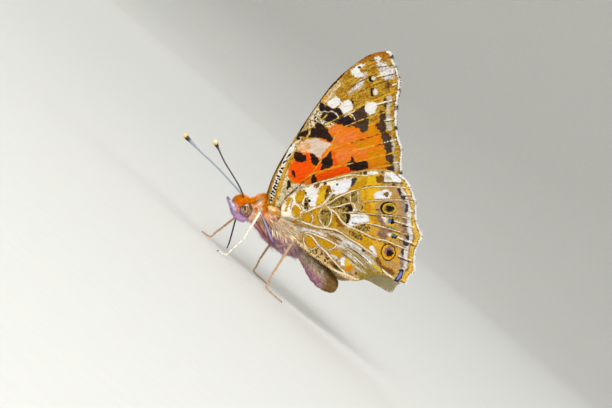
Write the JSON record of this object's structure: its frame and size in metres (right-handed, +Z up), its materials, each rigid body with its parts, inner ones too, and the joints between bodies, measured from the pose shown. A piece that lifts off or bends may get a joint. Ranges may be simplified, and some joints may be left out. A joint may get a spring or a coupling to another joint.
{
  "type": "painted lady butterfly, still life-size model",
  "caption": "Still butterfly standing with closed upright wings, knobbed antennae, banded hairy body, thin bent legs on small flat feet and a lowered tongue.",
  "frame": {"origin": "on the floor, under the middle of the whole animal's box", "axes": "+X towards the tail, +Y to the butterfly's right, +Z up; the head looks along -X"},
  "size_m": [0.0434, 0.0144, 0.0419],
  "materials": {
    "thorax_fur": "dense tan and grey hair, matte",
    "abdomen_scales": "grey-beige scales, banded, matte",
    "head_fur": "short orange-brown hair, matte",
    "eye": "fine facets, glossy olive brown",
    "palp_scales": "white and lilac scales, matte",
    "proboscis": "dark horn, satin",
    "antenna": "ringed brown, pale club tip",
    "leg_scales": "pale scales and short hair, matte",
    "forewing_scales": "orange, black, white and ochre scales, matte",
    "hindwing_scales": "ochre, olive and cream scales with five eyespots, matte"
  },
  "bodies": {
    "root": {"thorax": "thorax_fur", "abdomen": "abdomen_scales", "head": "head_fur", "eye_left": "eye", "eye_right": "eye", "palp_left": "palp_scales", "palp_right": "palp_scales", "proboscis": "proboscis", "antenna_left": "antenna", "antenna_right": "antenna", "foreleg_left": "leg_scales", "foreleg_right": "leg_scales", "midleg_left": "leg_scales", "midleg_right": "leg_scales", "hindleg_left": "leg_scales", "hindleg_right": "leg_scales", "forewing_left": "forewing_scales", "forewing_right": "forewing_scales", "hindwing_left": "hindwing_scales", "hindwing_right": "hindwing_scales"}
  },
  "joints": []
}
